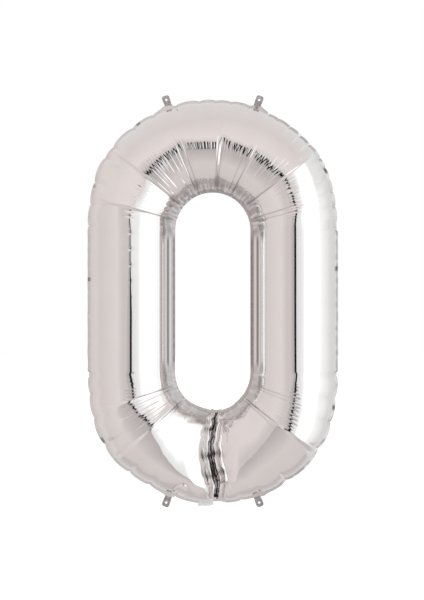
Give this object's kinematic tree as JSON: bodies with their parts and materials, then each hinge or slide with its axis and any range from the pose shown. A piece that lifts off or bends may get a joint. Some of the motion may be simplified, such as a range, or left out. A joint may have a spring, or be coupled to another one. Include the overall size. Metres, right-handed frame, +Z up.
{
  "type": "foil number balloon",
  "caption": "Inflated foil balloon shaped as the digit zero: two welded metallised films form an oval ring tube with an inlet valve and hanging tabs.",
  "frame": {"origin": "centre of the balloon's box, in the plane of its edge welds", "axes": "+Z up the digit, +X to the right seen from the front, the front faces -Y"},
  "size_m": [0.535, 0.1754, 0.8808],
  "materials": {
    "foil_film": "mirror-bright silver metallised film, creased and puckered along its curved edges",
    "foil_weld": "flat heat-sealed band of silver film, finely crimped",
    "tab_film": "two silver films sealed flat, seen grey",
    "inlet_film": "pale soft film tail",
    "valve_film": "clear soft film sleeve inside the balloon"
  },
  "bodies": {
    "envelope": {"front_panel": "foil_film", "back_panel": "foil_film", "outer_seam": "foil_weld", "inner_seam": "foil_weld", "cross_seam": "foil_weld", "valve_film_front": "valve_film", "valve_film_back": "valve_film", "valve_side_seams": "valve_film"},
    "inlet": {"inlet_lip_front": "inlet_film", "inlet_lip_back": "inlet_film"},
    "tab_top_left": {"hanging_tab_top_left": "tab_film"},
    "tab_top_right": {"hanging_tab_top_right": "tab_film"},
    "tab_bottom_left": {"hanging_tab_bottom_left": "tab_film"},
    "tab_bottom_right": {"hanging_tab_bottom_right": "tab_film"}
  },
  "joints": [
    {"name": "tab_top_left_fold", "type": "hinge", "parent": "envelope", "child": "tab_top_left", "pos_m": [-0.09405, 0, 0.41604], "axis": [0.9367, 0, 0.3502], "range_deg": [-90, 90], "stiffness_Nm_per_rad": 0.0004},
    {"name": "tab_top_right_fold", "type": "hinge", "parent": "envelope", "child": "tab_top_right", "pos_m": [0.09405, 0, 0.41604], "axis": [0.9367, 0, -0.3502], "range_deg": [-90, 90], "stiffness_Nm_per_rad": 0.0004},
    {"name": "tab_bottom_left_fold", "type": "hinge", "parent": "envelope", "child": "tab_bottom_left", "pos_m": [-0.09405, 0, -0.41604], "axis": [0.9367, 0, -0.3502], "range_deg": [-90, 90], "stiffness_Nm_per_rad": 0.0004},
    {"name": "tab_bottom_right_fold", "type": "hinge", "parent": "envelope", "child": "tab_bottom_right", "pos_m": [0.09405, 0, -0.41604], "axis": [0.9367, 0, 0.3502], "range_deg": [-90, 90], "stiffness_Nm_per_rad": 0.0004},
    {"name": "inlet_fold", "type": "hinge", "parent": "envelope", "child": "inlet", "pos_m": [-0.015, 0, -0.43305], "axis": [1, 0, 0], "range_deg": [-90, 90], "stiffness_Nm_per_rad": 0.0003}
  ]
}
